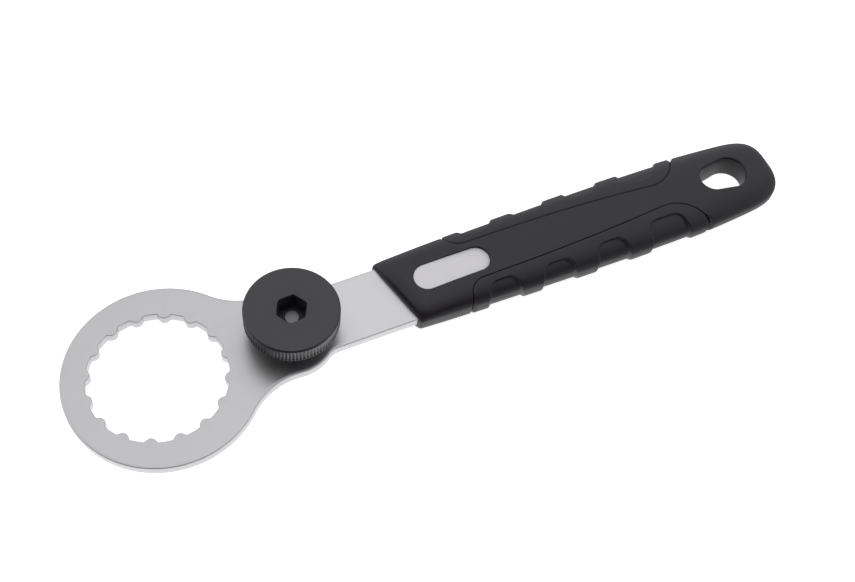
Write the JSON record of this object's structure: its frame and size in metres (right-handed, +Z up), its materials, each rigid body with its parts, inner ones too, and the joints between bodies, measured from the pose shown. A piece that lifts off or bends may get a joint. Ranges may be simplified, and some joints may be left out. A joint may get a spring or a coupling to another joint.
{
  "type": "bottom bracket tool",
  "caption": "Flat steel ring wrench for external bottom bracket cups, with a two-material handle and a magnetic crank cap key parked on its neck.",
  "frame": {"origin": "on the plane that the handle lies on, below the middle of the tool's length and width", "axes": "+X along the handle, away from the ring; +Z up, out of the face that holds the cap key; +Y across the tool"},
  "size_m": [0.259, 0.0624, 0.0219],
  "materials": {
    "steel_blank": "satin chromed",
    "key_alloy": "black anodised",
    "magnet": "dull nickel plate",
    "hard_plastic": "fine matte moulding",
    "soft_grip": "smooth matte",
    "label_inlay": "satin"
  },
  "bodies": {
    "root": {"wrench_plate": "steel_blank", "cap_tool": "key_alloy", "cap_magnet": "magnet", "handle_body": "hard_plastic", "grip_left": "soft_grip", "grip_right": "soft_grip", "label_plate": "label_inlay"}
  },
  "joints": []
}
